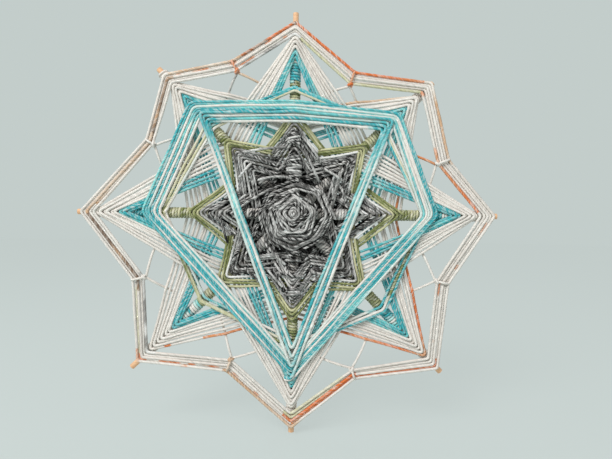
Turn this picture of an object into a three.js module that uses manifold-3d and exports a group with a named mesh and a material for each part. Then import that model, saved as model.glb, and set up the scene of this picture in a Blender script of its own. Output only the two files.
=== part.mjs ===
// An ojo de dios of eight arms: four dowels in two halved crosses, wound with wool.
// Millimetres, +Z up, the front faces -Y, the origin is where the front cross's dowels meet.
import * as THREE from 'three';
import { mergeVertices } from 'three/addons/utils/BufferGeometryUtils.js';
import Module from 'manifold-3d';

const wasm = await Module();
wasm.setup();

// Dowels
const dowelLength = 300;
const dowelDiameter = 4;
const dowelFacets = 16;
const fitGap = 0.3;
const verticalSlip = 6;
const horizontalSlip = 4.5;
const risingSlip = 11.5;
const fallingSlip = 6;
const risingAngle = 44;
const fallingAngle = 133.6;

// Wool: each strand, and the clear space between a winding's turns
const strandDiameter = 1.5;
const turnGap = 0.45;
const strandSides = 5;

// Outer ring
const ringTurns = 5;
const ringTipShares = [0.985, 0.975, 0.953, 0.962, 0.985, 0.945, 0.965, 0.967];
const ringValleyShares = [0.777, 0.735, 0.777, 0.779, 0.82, 0.805, 0.829, 0.803];
const ringValleyTurnShares = [0.44, 0.5, 0.51, 0.43, 0.51, 0.51, 0.47, 0.49];
const ringSlantShare = 0.78;

// Star of two zigzags
const whiteTurns = 8;
const turquoiseTurns = 3;
const starTipSpacing = 2.25;
const starValleyReach = 77;
const starValleySpacing = 2.6;
const starPileHeight = 2.4;
const starSlantShare = 0.5;
const starDiveReach = 11;
const starCrossDepth = 1.7;
const starBackGap = 1.4;

// Wraps round the arms
const wrapTurns = 4;
const wrapStepsPerTurn = 6;

// Loose octagon
const octagonTurns = 3;
const octagonReach = 92;
const octagonReachShares = [1.04, 1.0, 1.0, 0.99, 1.05, 1.02, 1.0, 1.05];

// Squares of the inner star
const greenTurns = 3;
const grayTurns = 5;
const innerTurns = 5;
const squareReach = 72;
const innerReach = 45;

// Eye
const eyeReach = 25;
const eyeTurns = 9;
const eyeHeight = 5.5;

// Pentagon and triangle in front
const pentagonTurns = 7;
const pentagonReach = 110;
const pentagonReachShares = { right: 0.92, upper_right: 0.98, upper_left: 0.98, left: 1, bottom: 1.03 };
const triangleTurns = 4;
const triangleReach = 97;
const triangleReachShares = { upper_right: 0.965, upper_left: 1, bottom: 1.01 };

// Ties in the ring's valleys
const tieEndShare = 0.42;

const dowelRadius = dowelDiameter / 2;
const strandRadius = strandDiameter / 2;
const turnPitch = strandDiameter + turnGap;
const layerPitch = strandDiameter + fitGap;
const crossDepth = dowelDiameter + fitGap;
const seatDepth = dowelRadius + fitGap + strandRadius;
const halfLength = dowelLength / 2;

const wood = { color: 0xdcae88, roughness: 0.75, metalness: 0 };
const white = { color: 0xe4ddd2, roughness: 0.95, metalness: 0 };
const turquoise = { color: 0x5cb8bd, roughness: 0.95, metalness: 0 };
const green = { color: 0xa3ab7c, roughness: 0.95, metalness: 0 };
const gray = { color: 0x77756f, roughness: 0.95, metalness: 0 };
const orange = { color: 0xd9865a, roughness: 0.95, metalness: 0 };

const ornament = new THREE.Group();

function addPiece(name, geometry, finish) {
  const mesh = new THREE.Mesh(geometry, new THREE.MeshStandardMaterial(finish));
  mesh.name = name;
  ornament.add(mesh);
}

// Directions and places in the plane of the arms
function towards(angle) {
  const turn = THREE.MathUtils.degToRad(angle);
  return new THREE.Vector2(Math.cos(turn), Math.sin(turn));
}

function place(flat, depth) {
  return new THREE.Vector3(flat.x, depth, flat.y);
}

// Closed solids cut and joined
function toSolid(geometry) {
  const bare = geometry.clone();
  bare.deleteAttribute('normal');
  bare.deleteAttribute('uv');
  const merged = mergeVertices(bare);
  const vertProperties = new Float32Array(merged.attributes.position.array);
  const triVerts = new Uint32Array(merged.index.array);
  return new wasm.Manifold(new wasm.Mesh({ numProp: 3, vertProperties, triVerts }));
}

function toGeometry(solid) {
  const mesh = solid.getMesh();
  const geometry = new THREE.BufferGeometry();
  geometry.setAttribute('position', new THREE.BufferAttribute(mesh.vertProperties, 3));
  geometry.setIndex(new THREE.BufferAttribute(mesh.triVerts, 1));
  geometry.computeVertexNormals();
  return geometry;
}

// Dowels, halved into one another where two of them cross
const dowels = {
  horizontal: { angle: 0, slip: horizontalSlip, depth: 0 },
  rising: { angle: risingAngle, slip: risingSlip, depth: crossDepth },
  vertical: { angle: 90, slip: verticalSlip, depth: 0 },
  falling: { angle: fallingAngle, slip: fallingSlip, depth: crossDepth },
};

function bar(geometry, angle, along, depth) {
  const centre = towards(angle).multiplyScalar(along);
  geometry.rotateZ(-Math.PI / 2);
  geometry.rotateY(-THREE.MathUtils.degToRad(angle));
  geometry.translate(centre.x, depth, centre.y);
  return geometry;
}

function dowelGeometry(dowel, partner, keepsFront) {
  const rod = new THREE.CylinderGeometry(dowelRadius, dowelRadius, dowelLength, dowelFacets);
  const cutDepth = dowelDiameter;
  const cutMiddle = keepsFront ? cutDepth / 2 - fitGap / 2 : fitGap / 2 - cutDepth / 2;
  const cutWidth = dowelDiameter + fitGap + fitGap;
  const notch = new THREE.BoxGeometry(cutWidth, dowelDiameter * 3, cutDepth);
  notch.rotateY(Math.PI / 2);
  const rodSolid = toSolid(bar(rod, dowel.angle, -dowel.slip, dowel.depth));
  const notchSolid = toSolid(bar(notch, partner.angle, 0, dowel.depth + cutMiddle));
  return toGeometry(rodSolid.subtract(notchSolid));
}

addPiece('dowel_vertical', dowelGeometry(dowels.vertical, dowels.horizontal, true), wood);
addPiece('dowel_horizontal', dowelGeometry(dowels.horizontal, dowels.vertical, false), wood);
addPiece('dowel_rising', dowelGeometry(dowels.rising, dowels.falling, true), wood);
addPiece('dowel_falling', dowelGeometry(dowels.falling, dowels.rising, false), wood);

// The eight arms, counter-clockwise from the right as the front is seen
function armOf(name, dowel, isFarEnd) {
  const angle = isFarEnd ? dowel.angle + 180 : dowel.angle;
  const reach = isFarEnd ? halfLength + dowel.slip : halfLength - dowel.slip;
  return { name, angle, reach, depth: dowel.depth, isDiagonal: dowel.depth > 0 };
}

const arms = [
  armOf('right', dowels.horizontal, false),
  armOf('upper_right', dowels.rising, false),
  armOf('top', dowels.vertical, false),
  armOf('upper_left', dowels.falling, false),
  armOf('left', dowels.horizontal, true),
  armOf('lower_left', dowels.rising, true),
  armOf('bottom', dowels.vertical, true),
  armOf('lower_right', dowels.falling, true),
];

function armNamed(name) {
  return arms.find((arm) => arm.name === name);
}

function onArm(arm, reach) {
  return towards(arm.angle).multiplyScalar(reach);
}

function nextArm(index) {
  return arms[(index + 1) % arms.length];
}

// One closed tube through a list of points, mitred at each
function tubeAlong(points, radius, sides) {
  const runs = points.slice(1).map((point, i) => point.clone().sub(points[i]).normalize());
  const across = new THREE.Vector3(0, 1, 0).cross(runs[0]).normalize();
  const up = runs[0].clone().cross(across);
  let section = Array.from({ length: sides }, (_, k) => {
    const turn = (2 * Math.PI * k) / sides;
    return points[0].clone()
      .addScaledVector(across, radius * Math.cos(turn))
      .addScaledVector(up, radius * Math.sin(turn));
  });
  const vertices = [...section];
  for (let i = 1; i < points.length; i += 1) {
    const run = runs[i - 1];
    const facing = i < runs.length ? run.clone().add(runs[i]).normalize() : run;
    section = section.map((corner) => {
      const away = points[i].clone().sub(corner).dot(facing) / run.dot(facing);
      return corner.clone().addScaledVector(run, away);
    });
    vertices.push(...section);
  }
  const faces = [];
  for (let i = 0; i < runs.length; i += 1) {
    for (let k = 0; k < sides; k += 1) {
      const a = i * sides + k;
      const b = i * sides + ((k + 1) % sides);
      faces.push(a, b, a + sides, b, b + sides, a + sides);
    }
  }
  const last = runs.length * sides;
  for (let k = 1; k < sides - 1; k += 1) {
    faces.push(0, k + 1, k, last, last + k, last + k + 1);
  }
  const geometry = new THREE.BufferGeometry().setFromPoints(vertices);
  geometry.setIndex(faces);
  geometry.computeVertexNormals();
  return geometry;
}

// Least clear space from a tube to itself, measured from points along each run to the runs
// that share no corner with it
function leastSelfGap(points, diameter) {
  const runs = points.slice(1).map((point, i) => new THREE.Line3(points[i], point));
  const nearest = new THREE.Vector3();
  let least = Infinity;
  runs.forEach((run, i) => {
    const steps = Math.ceil(run.distance() / diameter);
    for (let s = 0; s <= steps; s += 1) {
      const point = run.at(s / steps, new THREE.Vector3());
      runs.forEach((other, j) => {
        if (Math.abs(i - j) > 1) {
          other.closestPointToPoint(point, true, nearest);
          least = Math.min(least, nearest.distanceTo(point) - diameter);
        }
      });
    }
  });
  return least;
}

function addWinding(name, points, finish) {
  console.log(`${name}: least gap to itself ${leastSelfGap(points, strandDiameter).toFixed(2)} mm`);
  addPiece(name, tubeAlong(points, strandRadius, strandSides), finish);
}

// A spiral of straight runs that steps in by one pitch a turn, each run parallel to the one outside it
function steppedSpiral(corners, turns, pitch) {
  const count = corners.length;
  const sides = corners.map((corner, i) => {
    const along = corners[(i + 1) % count].clone().sub(corner).normalize();
    return { start: corner, along, inward: new THREE.Vector2(-along.y, along.x) };
  });
  const lineAt = (step) => {
    const side = sides[((step % count) + count) % count];
    const inset = Math.max(step / count, 0) * pitch;
    return { start: side.start.clone().addScaledVector(side.inward, inset), along: side.along };
  };
  return Array.from({ length: turns * count + 1 }, (_, step) => {
    const before = lineAt(step - 1);
    const after = lineAt(step);
    const between = after.start.clone().sub(before.start);
    const travel = between.cross(after.along) / before.along.cross(after.along);
    return before.start.clone().addScaledVector(before.along, travel);
  });
}

// Outer ring, drawn in between the arms
const ringCorners = arms.flatMap((arm, i) => {
  const turnTo = ((nextArm(i).angle - arm.angle + 360) % 360) * ringValleyTurnShares[i];
  const tip = onArm(arm, arm.reach * ringTipShares[i]);
  const valley = towards(arm.angle + turnTo).multiplyScalar(halfLength * ringValleyShares[i]);
  return [tip, valley];
});
const ringValleyDepth = crossDepth / 2 - seatDepth;
const ringPoints = steppedSpiral(ringCorners, ringTurns, turnPitch).map((flat, i) => {
  const isValley = i % 2 === 1;
  const arm = arms[(i / 2) % arms.length];
  return place(flat, isValley ? ringValleyDepth : arm.depth - seatDepth);
});
addWinding('outer_ring', ringPoints, white);

// Star: each zigzag has its tips in front of one cross and its valleys behind the other. Its turns
// lie side by side in the valleys and are piled two deep at the tips. The cardinal zigzag crosses
// in front of the diagonal one, then dives behind the diagonal arms.
const starInset = (ringTurns * turnPitch) / ringSlantShare + strandRadius / starSlantShare;

function starTipReach(arm) {
  return arm.reach * ringTipShares[arms.indexOf(arm)] - starInset;
}

function starTip(arm, step) {
  const turn = step / arms.length;
  const pile = Math.floor(turn) % 2 === 0 ? 0 : starPileHeight;
  return place(onArm(arm, starTipReach(arm) - turn * starTipSpacing), arm.depth - seatDepth - pile);
}

function starValley(arm, step) {
  const reach = starValleyReach - (step / arms.length) * starValleySpacing;
  const behind = arm.isDiagonal ? seatDepth + starBackGap : seatDepth;
  return place(onArm(arm, reach), arm.depth + behind);
}

// Where a strand from a tip to a valley leaves the front
function starDive(tip, valley) {
  const back = tip.clone().sub(valley).setY(0).setLength(starDiveReach);
  return valley.clone().add(back).setY(-starCrossDepth);
}

function starZigzag(firstArm, fromTurn, turns) {
  const corners = Array.from({ length: turns * arms.length - 1 }, (_, i) => {
    const step = fromTurn * arms.length + i;
    const arm = arms[(firstArm + step) % arms.length];
    return step % 2 === 0 ? starTip(arm, step) : starValley(arm, step);
  });
  return corners.flatMap((corner, i) => {
    const isDive = i % 2 === 1 && !arms[firstArm].isDiagonal;
    return isDive
      ? [starDive(corners[i - 1], corner), corner, starDive(corners[i + 1], corner)]
      : [corner];
  });
}

addWinding('star_cardinal_white', starZigzag(0, 0, whiteTurns), white);
addWinding('star_cardinal_turquoise', starZigzag(0, whiteTurns, turquoiseTurns), turquoise);
addWinding('star_diagonal_white', starZigzag(1, 0, whiteTurns), white);
addWinding('star_diagonal_turquoise', starZigzag(1, whiteTurns, turquoiseTurns), turquoise);

// Wraps round each arm, outside the star's valleys
const wrapReach = (dowelRadius + fitGap + strandRadius) / Math.cos(Math.PI / wrapStepsPerTurn);
const wrapStart = starValleyReach + layerPitch + strandRadius;

function armWrap(arm) {
  const along = place(towards(arm.angle), 0);
  const aside = new THREE.Vector3(along.z, 0, -along.x);
  const middle = new THREE.Vector3(0, arm.depth, 0);
  return Array.from({ length: wrapTurns * wrapStepsPerTurn + 1 }, (_, step) => {
    const turns = (step + 0.5) / wrapStepsPerTurn;
    const turn = 2 * Math.PI * turns;
    return middle.clone()
      .addScaledVector(along, wrapStart + turns * turnPitch)
      .addScaledVector(aside, wrapReach * Math.cos(turn))
      .add(new THREE.Vector3(0, wrapReach * Math.sin(turn), 0));
  });
}

arms.forEach((arm) => addWinding(`arm_wrap_${arm.name}`, armWrap(arm), green));

// Loose octagon over the wraps
const octagonDepth = -(seatDepth + starPileHeight + strandRadius);
const octagonCorners = arms.map((arm, i) => onArm(arm, octagonReach * octagonReachShares[i]));
const octagonSpiral = steppedSpiral(octagonCorners, octagonTurns, turnPitch);
addWinding('octagon_strands', octagonSpiral.map((flat) => place(flat, octagonDepth)), turquoise);

// Squares of the inner star: the diagonal ones lie on the star, the cardinal ones on them
const diagonalSquareDepth = -(starCrossDepth + layerPitch + fitGap);
const cardinalSquareDepth = diagonalSquareDepth - layerPitch;
const cardinalArms = arms.filter((arm) => !arm.isDiagonal);
const diagonalArms = arms.filter((arm) => arm.isDiagonal);

function squareWinding(squareArms, reach, turns, depth) {
  const corners = squareArms.map((arm) => onArm(arm, reach));
  return steppedSpiral(corners, turns, turnPitch).map((flat) => place(flat, depth));
}

const squareStep = turnPitch * Math.SQRT2;
const grayReach = squareReach - (greenTurns + 1) * squareStep;
[
  ['diagonal', diagonalArms, diagonalSquareDepth],
  ['cardinal', cardinalArms, cardinalSquareDepth],
].forEach(([name, squareArms, depth]) => {
  addWinding(`green_square_${name}`, squareWinding(squareArms, squareReach, greenTurns, depth), green);
  addWinding(`gray_square_${name}`, squareWinding(squareArms, grayReach, grayTurns, depth), gray);
  addWinding(`inner_square_${name}`, squareWinding(squareArms, innerReach, innerTurns, depth), gray);
});

// Eye, rising to its middle
const eyeRimDepth = cardinalSquareDepth - layerPitch;
const eyeCorners = arms.map((arm) => onArm(arm, eyeReach));
const eyePoints = steppedSpiral(eyeCorners, eyeTurns, turnPitch).map((flat, i) => {
  const share = i / (eyeTurns * arms.length);
  return place(flat, eyeRimDepth - eyeHeight * share);
});
addWinding('eye_rose', eyePoints, gray);

// Pentagon and triangle in front
function namedWinding(reach, shares, turns, depth) {
  const corners = Object.entries(shares).map(([name, share]) => onArm(armNamed(name), reach * share));
  return steppedSpiral(corners, turns, turnPitch).map((flat) => place(flat, depth));
}

const pentagonDepth = octagonDepth - layerPitch;
const triangleDepth = pentagonDepth - layerPitch;
addWinding(
  'pentagon_band',
  namedWinding(pentagonReach, pentagonReachShares, pentagonTurns, pentagonDepth),
  turquoise,
);
addWinding(
  'triangle_band',
  namedWinding(triangleReach, triangleReachShares, triangleTurns, triangleDepth),
  white,
);

// Ties: each binds the ring's strands in one valley and runs to the star's arms on both sides
function tieEnd(tipArm, valleyArm) {
  const tip = starTip(tipArm, 0);
  const valley = starValley(valleyArm, 0);
  const end = valleyArm.isDiagonal ? starDive(tip, valley) : valley;
  return tip.lerp(end, tieEndShare).add(new THREE.Vector3(0, -layerPitch, 0));
}

function valleyTie(index) {
  const outer = ringCorners[index * 2 + 1];
  const outward = outer.clone().normalize();
  const bundle = (ringTurns - 1) * turnPitch;
  const beyond = outer.clone().addScaledVector(outward, turnPitch);
  const within = outer.clone().addScaledVector(outward, -(bundle + turnPitch + turnPitch));
  const inFront = ringValleyDepth - layerPitch;
  const behind = ringValleyDepth + layerPitch;
  return [
    tieEnd(arms[index], nextArm(index)),
    place(within, inFront),
    place(beyond, inFront),
    place(beyond, behind),
    place(within, behind),
    tieEnd(nextArm(index), arms[index]),
  ];
}

arms.forEach((arm, i) => {
  addWinding(`valley_tie_${arm.name}`, valleyTie(i), i % 2 === 0 ? orange : white);
});

export default ornament;
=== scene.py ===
"""An ojo de dios of eight arms: its wool, its dowels and its stage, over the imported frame."""

import math

import bmesh
import bpy
import numpy as np
from mathutils import Matrix, Vector


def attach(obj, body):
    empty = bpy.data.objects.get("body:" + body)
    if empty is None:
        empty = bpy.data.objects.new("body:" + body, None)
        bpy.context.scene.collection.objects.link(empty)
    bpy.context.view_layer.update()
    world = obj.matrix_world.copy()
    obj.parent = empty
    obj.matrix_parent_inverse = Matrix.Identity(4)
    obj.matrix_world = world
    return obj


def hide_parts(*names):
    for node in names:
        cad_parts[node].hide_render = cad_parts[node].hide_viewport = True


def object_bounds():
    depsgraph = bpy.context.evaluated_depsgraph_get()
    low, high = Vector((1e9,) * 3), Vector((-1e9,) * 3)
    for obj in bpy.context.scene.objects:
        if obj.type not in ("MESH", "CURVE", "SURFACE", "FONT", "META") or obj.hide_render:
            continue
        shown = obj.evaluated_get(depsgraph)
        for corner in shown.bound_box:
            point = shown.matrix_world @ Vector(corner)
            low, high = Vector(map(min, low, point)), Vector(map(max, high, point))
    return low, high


bl_info = {
    "name": "Ojo de dios",
    "version": (1, 0, 0),
    "blender": (4, 5, 0),
    "location": "View3D > Sidebar > Ojo de dios",
    "description": "Winds wool over the crossed dowels of an eight-armed ojo de dios",
    "category": "Object",
}

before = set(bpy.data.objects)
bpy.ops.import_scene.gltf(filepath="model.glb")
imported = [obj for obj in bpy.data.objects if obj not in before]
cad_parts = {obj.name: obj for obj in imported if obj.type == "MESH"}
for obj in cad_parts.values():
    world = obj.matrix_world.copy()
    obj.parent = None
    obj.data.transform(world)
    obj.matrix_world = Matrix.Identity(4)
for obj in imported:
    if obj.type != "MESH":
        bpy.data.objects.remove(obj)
CAD_BOX = [list(corner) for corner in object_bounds()]

# The winding is worked out in millimetres: x to the right and z up as the front is seen, y the depth
MM = 0.001
CROSS_DEPTH = 4.3
DOWEL_RADIUS = 2.0
YARN_RADIUS = 1.07
STRAND_WIDTH = 2.24
NODE_STEP = 0.8
PLY_COUNT = 4
PLY_LAY = 6.0
# Points of each rounded corner, and the length in which a strand wanders to a side and back
CORNER_POINTS = 6
WANDER_LENGTH = 17.0
# The grid in which crossings are looked for, in cells a side
GRID = 16384

# The arms, counter-clockwise from the right: name, angle, reach, depth of the dowel's centre line
ARMS = (
    ("right", 0.0, 145.5, 0.0),
    ("upper_right", 44.0, 138.5, CROSS_DEPTH),
    ("top", 90.0, 144.0, 0.0),
    ("upper_left", 133.6, 144.0, CROSS_DEPTH),
    ("left", 180.0, 154.5, 0.0),
    ("lower_left", 224.0, 161.5, CROSS_DEPTH),
    ("bottom", 270.0, 156.0, 0.0),
    ("lower_right", 313.6, 156.0, CROSS_DEPTH),
)
ARM_COUNT = len(ARMS)
COIL_RADIUS = DOWEL_RADIUS + YARN_RADIUS
COIL_FACE = DOWEL_RADIUS + 2 * YARN_RADIUS
SEAT = COIL_FACE + YARN_RADIUS

# Where the windings meet each arm, from the right arm round
RING_OUTER = (141.8, 135.8, 135.0, 135.6, 149.8, 152.8, 150.4, 150.6)
RING_WIDTH = (9.6, 9.4, 8.2, 7.8, 8.9, 9.0, 9.3, 9.6)
STAR_OUTER = (131.6, 123.0, 127.0, 129.2, 141.0, 144.0, 138.4, 141.0)
STAR_CHANGE = (121.6, 112.3, 117.4, 119.0, 125.4, 121.6, 125.6, 123.6)
STAR_INNER = (112.8, 104.8, 110.6, 111.4, 116.0, 111.6, 115.8, 114.0)
VALLEY_OUTER = (77.5, 76.0, 77.5, 76.5, 78.0, 77.0, 77.0, 77.0)
VALLEY_INNER = (46.0, 45.0, 46.0, 45.0, 46.5, 45.5, 46.0, 45.5)
COIL_REACH = (142.8, 136.1, 135.3, 139.8, 150.1, 153.1, 150.7, 150.9)
SQUARE_OUTER = (77.5, 73.0, 74.0, 74.0, 76.5, 76.0, 78.0, 77.0)
# How far a square's side is drawn in where it passes behind each arm
SQUARE_WAIST = (0.83, 0.90, 0.85, 0.90, 0.84, 0.90, 0.98, 0.90)
OCTAGON_REACH = (95.5, 93.0, 92.0, 91.0, 96.5, 94.0, 95.5, 96.0)

# The ring's valleys, each after the arm of its place, and where its tie's two ends run to
RING_VALLEYS = (
    (109.8, 39.0), (42.5, 100.5), (-44.5, 107.7), (-104.7, 51.6),
    (-113.5, -47.5), (-46.4, -111.5), (44.0, -116.3), (110.2, -48.7),
)
RING_KNOTS = (
    (102.2, 36.7), (39.3, 92.6), (-41.7, 101.2), (-100.3, 48.3),
    (-105.8, -46.4), (-43.1, -104.3), (42.8, -110.4), (102.5, -46.6),
)
TIE_ENDS = (
    ((96.9, 21.8), (88.1, 42.3)), ((45.1, 79.9), (26.3, 88.2)),
    ((-28.4, 94.7), (-47.8, 87.1)), ((-87.2, 52.4), (-95.5, 35.4)),
    ((-100.7, -30.5), (-90.9, -54.2)), ((-51.6, -76.4), (-27.4, -99.1)),
    ((23.7, -103.5), (52.0, -92.5)), ((94.2, -30.3), (86.6, -54.0)),
)

STAR_WHITE_TURNS = 6
STAR_TURQUOISE_TURNS = 3
# Where a zigzag leaves the front on its way to a valley: distance from the valley, and depth
DIVE_REACH = 12.0
DIVE_DEPTH = -0.8
# How far inside a square's outermost turn each of its turns lies
SQUARE_DROPS = (
    0.0, 2.9, 5.8, 8.7, 11.5, 14.2, 16.9, 19.6, 25.5,
    28.0, 30.5, 33.0, 37.5, 40.5, 43.5, 46.5, 49.5, 52.5,
)
OCTAGON_TURNS = 3
OCTAGON_STEP = 2.3
COIL_PITCH = 2.04
COIL_STEPS = 14
# Where the wool round an arm starts, turns green and turns turquoise
COIL_STOPS = (3.0, 60.0, 94.0)

# The bands' turns and corners: arm, outermost reach, innermost reach
PENTAGON_TURNS = 7
TRIANGLE_TURNS = 4
PENTAGON_CORNERS = (
    (6, 116.5, 104.0), (0, 102.0, 91.0), (1, 104.5, 97.0), (2, 80.0, 72.0), (3, 110.0, 98.0), (4, 108.5, 96.0),
)
TRIANGLE_CORNERS = ((6, 115.0, 95.5), (1, 98.5, 89.0), (2, 72.6, 66.2), (3, 101.0, 91.0))
# The colour of each turn on each of its sides: S deep turquoise, W white, M between, G green, P pale green
PENTAGON_COLOURS = ("MSSSSS", "SSSSSW", "SWWWWS", "WWSSSM", "SMMMWW", "MSSSSS", "WWWWMW")
OCTAGON_COLOURS = ("SSWSSPGG", "WGPMSPGP", "WSMPPWWM")
TRIANGLE_COLOURS = ("WSSW", "SWWS", "WSSW", "SWWS")

# The single strands across the gray wool, each from its start to its end
LOOSE_DEPTH = -7.0
LOOSE_STRANDS = (
    ((-33.9, 7.2), (-16.6, 17.9)), ((-26.4, 24.4), (-5.9, 26.2)), ((-34.4, -38.0), (-21.4, -50.3)),
    ((-37.3, -0.4), (-39.9, -17.2)), ((20.0, 33.0), (34.0, 24.0)), ((38.0, 8.0), (33.0, 20.0)),
    ((-12.0, -42.0), (8.0, -44.0)), ((24.0, -34.0), (36.0, -28.0)), ((-37.4, 43.4), (-5.7, 47.2)),
    ((-34.0, 41.4), (-16.2, 34.7)), ((-40.2, 24.6), (-31.1, 35.6)), ((3.0, 58.2), (19.4, 36.1)),
    ((5.9, 49.6), (17.4, 22.7)), ((27.0, 24.6), (27.5, 9.3)), ((43.3, 38.0), (35.6, 15.0)),
    ((-51.8, -1.3), (-46.5, -21.5)), ((-21.0, -20.5), (-5.7, -35.9)), ((-19.0, -38.7), (-7.6, -52.2)),
    ((12.6, -41.6), (33.8, -44.5)), ((2.0, -49.3), (19.4, -46.5)), ((-43.0, -35.9), (-38.3, -24.4)),
)

# Where wraps show between the squares' tips: arm, nearest and farthest reach
WRAP_PITCH = 1.9
WRAP_DEPTH = -6.5
PETAL_WRAPS = ((2, 23.0, 41.5), (2, 50.0, 57.0), (6, 25.5, 34.5), (6, 53.0, 58.0))

# The stage, in metres
FLOOR_RADIUS = 6.0
FLOOR_GAP = 0.0002
FLOOR_GLOW = 0.75
BACKDROP_GLOW = 0.93
LAMP_SIZE = 0.7
LAMP_PLACE = (-0.5, -0.9, 0.8)
# The camera: the photograph's focal length and width in pixels, a sensor in mm, its lean and its shift
PHOTO_FOCUS = 471
PHOTO_WIDTH = 612
SENSOR_WIDTH = 36.0
CAMERA_LEAN = 0.69
CAMERA_SHIFT = (0.0089, -0.0111, 0)

# Colours of the wool, as they look in daylight
CREAM = (0.965, 0.945, 0.915)
ROSY = (0.93, 0.89, 0.85)
TEAL = (0.29, 0.72, 0.75)
AQUA = (0.55, 0.87, 0.86)
MIST = (0.82, 0.93, 0.91)
OLIVE = (0.54, 0.57, 0.36)
STRAW = (0.86, 0.85, 0.69)
CHARCOAL = (0.12, 0.117, 0.112)
SLATE = (0.43, 0.42, 0.405)
ASH = (0.97, 0.965, 0.95)
ORANGE = (0.94, 0.52, 0.30)
TAN = (0.86, 0.71, 0.57)
BROWN = (0.55, 0.47, 0.41)


# Directions and places in the plane of the arms

def towards(angle):
    turn = math.radians(angle)
    return np.array((math.cos(turn), math.sin(turn)))


def on_arm(index, reach):
    return towards(ARMS[index % ARM_COUNT][1]) * reach


def arm_depth(index):
    return ARMS[index % ARM_COUNT][3]


def is_diagonal(index):
    return arm_depth(index) > 0


def between(low, high, share):
    return low + (high - low) * share


def drift(seed, along, length):
    """Smooth noise from -1 to 1 along a strand, with one knot per length."""
    knots = np.random.default_rng(seed).uniform(-1, 1, int(along.max() / length) + 3)
    place = along / length
    index = place.astype(int)
    blend = (1 - np.cos((place - index) * math.pi)) / 2
    return knots[index] * (1 - blend) + knots[index + 1] * blend


# Strands

strands = []


def lay(piece, corners, paint, rank=0, bend=2.0, wander=0.14, fixed=False, width=1.0):
    """Adds a strand to a piece: its corners are (x, y, z), each rounded over a bend's length."""
    corners = np.array(corners, float)
    path, steps_at = [corners[:1]], [0]
    for before, corner, after in zip(corners, corners[1:], corners[2:]):
        to_before, to_after = before - corner, after - corner
        reach = min(bend, 0.45 * np.linalg.norm(to_before), 0.45 * np.linalg.norm(to_after))
        start = corner + to_before * reach / np.linalg.norm(to_before)
        end = corner + to_after * reach / np.linalg.norm(to_after)
        t = np.linspace(0, 1, CORNER_POINTS)[:, None]
        path.append((1 - t) ** 2 * start + 2 * t * (1 - t) * corner + t ** 2 * end)
        steps_at.append(CORNER_POINTS * len(steps_at) - 2)
    path = np.concatenate([*path, corners[-1:]])
    steps_at.append(len(path) - 1)
    steps = np.linalg.norm(np.diff(path, axis=0), axis=1)
    along = np.concatenate([[0], np.cumsum(steps)])
    count = max(int(along[-1] / NODE_STEP), 3)
    even = np.linspace(0, along[-1], count + 1)
    nodes = np.stack([np.interp(even, along, path[:, k]) for k in range(3)], 1)
    step = np.interp(even, along[steps_at], range(len(corners)))
    seed = len(strands) * 7 + 3
    nodes[:, 0] += wander * drift(seed, even, WANDER_LENGTH)
    nodes[:, 2] += wander * drift(seed + 1, even, WANDER_LENGTH)
    strands.append({
        "piece": piece, "nodes": nodes, "along": even, "step": step, "paint": paint, "seed": seed,
        "rank": rank, "fixed": fixed, "width": width,
    })


def pile(turn, layers, height=1.75):
    """How far a turn rides forward where turns are wound on one another."""
    return (turn % layers) * height


def crossing_pairs(flat, reach):
    """Pairs of nodes nearer than reach, seen from the front, by a grid of cells that wide."""
    cells = np.floor(flat / reach).astype(np.int64) + GRID // 4
    keys = cells[:, 0] * GRID + cells[:, 1]
    order = np.argsort(keys, kind="stable")
    ordered = keys[order]
    firsts, seconds = [], []
    for shift in (0, 1, GRID - 1, GRID, GRID + 1):
        low = np.searchsorted(ordered, keys + shift, "left")
        high = np.searchsorted(ordered, keys + shift, "right")
        counts = high - low
        first = np.repeat(np.arange(len(flat)), counts)
        offset = np.arange(counts.sum()) - np.repeat(np.cumsum(counts) - counts, counts)
        second = order[np.repeat(low, counts) + offset]
        if shift == 0:
            first, second = first[first < second], second[first < second]
        near = np.sum((flat[first] - flat[second]) ** 2, 1) < reach ** 2
        firsts.append(first[near])
        seconds.append(second[near])
    return np.concatenate(firsts), np.concatenate(seconds)


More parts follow.
